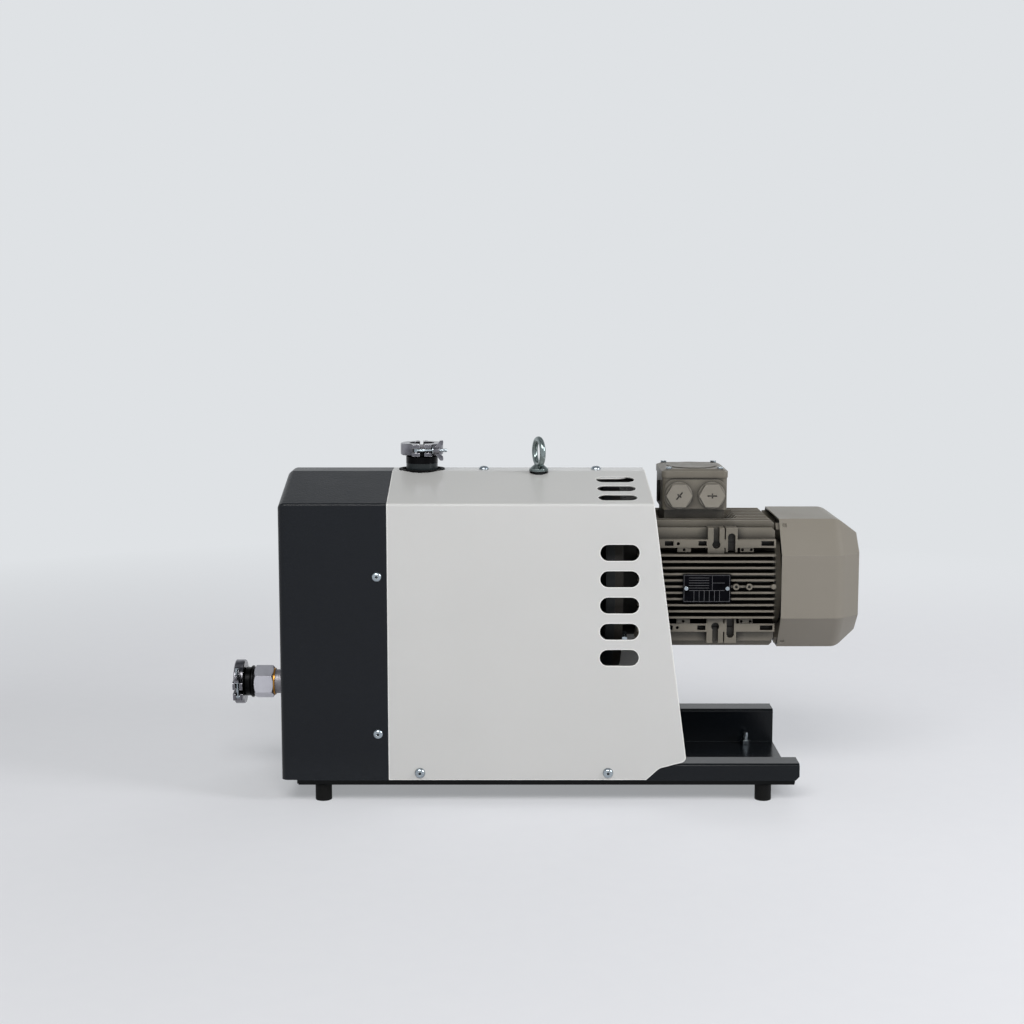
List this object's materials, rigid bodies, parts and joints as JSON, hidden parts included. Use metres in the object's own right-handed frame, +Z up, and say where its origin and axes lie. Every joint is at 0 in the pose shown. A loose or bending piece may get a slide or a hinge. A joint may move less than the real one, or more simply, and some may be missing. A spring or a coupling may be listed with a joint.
{
  "type": "claw vacuum pump",
  "caption": "Dry claw vacuum pump under a two-piece sheet hood, with timing gears, finned flange motor, clamped inlet and exhaust, lifting eye and rubber feet.",
  "frame": {"origin": "on the floor under the feet, at the middle of the overall length and width", "axes": "+X along the shafts towards the motor's fan, +Y to the rear, +Z up"},
  "size_m": [0.857, 0.2944, 0.4794],
  "materials": {
    "dark_hood_paint": "fine textured powder coat",
    "light_hood_paint": "satin powder coat",
    "tray_paint": "satin powder coat",
    "galvanised_sheet": "plain zinc",
    "zinc_fasteners": "bright zinc",
    "black_rubber": "matte",
    "cast_iron": "machined and cast",
    "gasket_paper": "dry",
    "ground_steel": "ground",
    "oil_plug_steel": "zinc",
    "sight_glass": "clear",
    "hub_iron": "turned",
    "fan_polymer": "moulded",
    "bell_enamel": "dark enamel on cast aluminium",
    "silencer_aluminium": "cast",
    "motor_paint": "satin",
    "electrical_steel": "laminated",
    "copper_windings": "varnished",
    "rating_plate": "satin",
    "gland_polymer": "moulded",
    "terminal_polymer": "moulded",
    "pipe_paint": "satin",
    "valve_polymer": "moulded",
    "black_adapter": "black anodised",
    "bright_steel": "turned",
    "clamp_aluminium": "cast",
    "brass_ring": "plain"
  },
  "bodies": {
    "casing": {"base_tray": "tray_paint", "bearing_caps": "ground_steel", "bearings": "ground_steel", "bell_housing": "bell_enamel", "casing_bolts": "zinc_fasteners", "clamp_bolts": "zinc_fasteners", "clamp_halves": "clamp_aluminium", "closing_caps": "bright_steel", "cylinder_cover": "cast_iron", "end_hood": "dark_hood_paint", "exhaust_adapter": "black_adapter", "exhaust_nipple": "bright_steel", "exhaust_socket": "bright_steel", "fan_cover": "motor_paint", "foot_rails": "tray_paint", "gearbox_cover": "cast_iron", "gearbox_gasket": "gasket_paper", "gearbox_housing": "cast_iron", "gland_plugs": "gland_polymer", "hood_frame": "galvanised_sheet", "hood_screws": "zinc_fasteners", "inlet_adapter": "black_adapter", "inlet_pipe": "pipe_paint", "lifting_eye": "zinc_fasteners", "main_hood": "light_hood_paint", "motor_flange": "motor_paint", "motor_housing": "motor_paint", "motor_screws": "zinc_fasteners", "oil_plugs": "oil_plug_steel", "oil_sight_glass": "sight_glass", "pump_cylinder": "cast_iron", "pump_pedestal": "cast_iron", "rating_plate": "rating_plate", "rear_shield": "motor_paint", "rubber_edgings": "black_rubber", "rubber_feet": "black_rubber", "sealing_ring": "brass_ring", "shaft_seals": "black_rubber", "silencer": "silencer_aluminium", "stator_core": "electrical_steel", "stator_windings": "copper_windings", "terminal_board": "terminal_polymer", "terminal_box": "motor_paint", "terminal_lid": "motor_paint", "tray_fasteners": "zinc_fasteners"},
    "drive_train": {"drive_claw": "cast_iron", "drive_shaft": "ground_steel", "drive_gear": "ground_steel", "coupling_hubs": "hub_iron", "coupling_spider": "black_rubber", "cooling_fan": "fan_polymer", "motor_rotor": "electrical_steel", "motor_shaft": "ground_steel", "motor_fan": "fan_polymer"},
    "idle_train": {"idle_claw": "cast_iron", "idle_shaft": "ground_steel", "idle_gear": "ground_steel"},
    "inlet_valve": {"check_valve": "valve_polymer"},
    "inlet_nut": {"inlet_wing_nut": "clamp_aluminium"},
    "exhaust_nut": {"exhaust_wing_nut": "clamp_aluminium"}
  },
  "joints": [
    {"name": "drive_spin", "type": "hinge", "parent": "casing", "child": "drive_train", "pos_m": [-0.0205, 0, 0.284], "axis": [1, 0, 0], "continuous": true},
    {"name": "idle_spin", "type": "hinge", "parent": "casing", "child": "idle_train", "pos_m": [-0.1105, 0, 0.174], "axis": [1, 0, 0], "continuous": true},
    {"name": "valve_lift", "type": "slide", "parent": "casing", "child": "inlet_valve", "axis": [0, 0, 1], "range_m": [0, 0.006]},
    {"name": "inlet_nut_turn", "type": "hinge", "parent": "casing", "child": "inlet_nut", "pos_m": [-0.14463, -0.02992, 0.4604], "axis": [0.9981, 0.061, 0], "continuous": true},
    {"name": "exhaust_nut_turn", "type": "hinge", "parent": "casing", "child": "exhaust_nut", "pos_m": [-0.42175, -0.03614, 0.14576], "axis": [0, -0.2079, 0.9781], "continuous": true}
  ],
  "couplings": [
    {"joint": "idle_spin", "follows": "drive_spin", "ratio": -1}
  ]
}
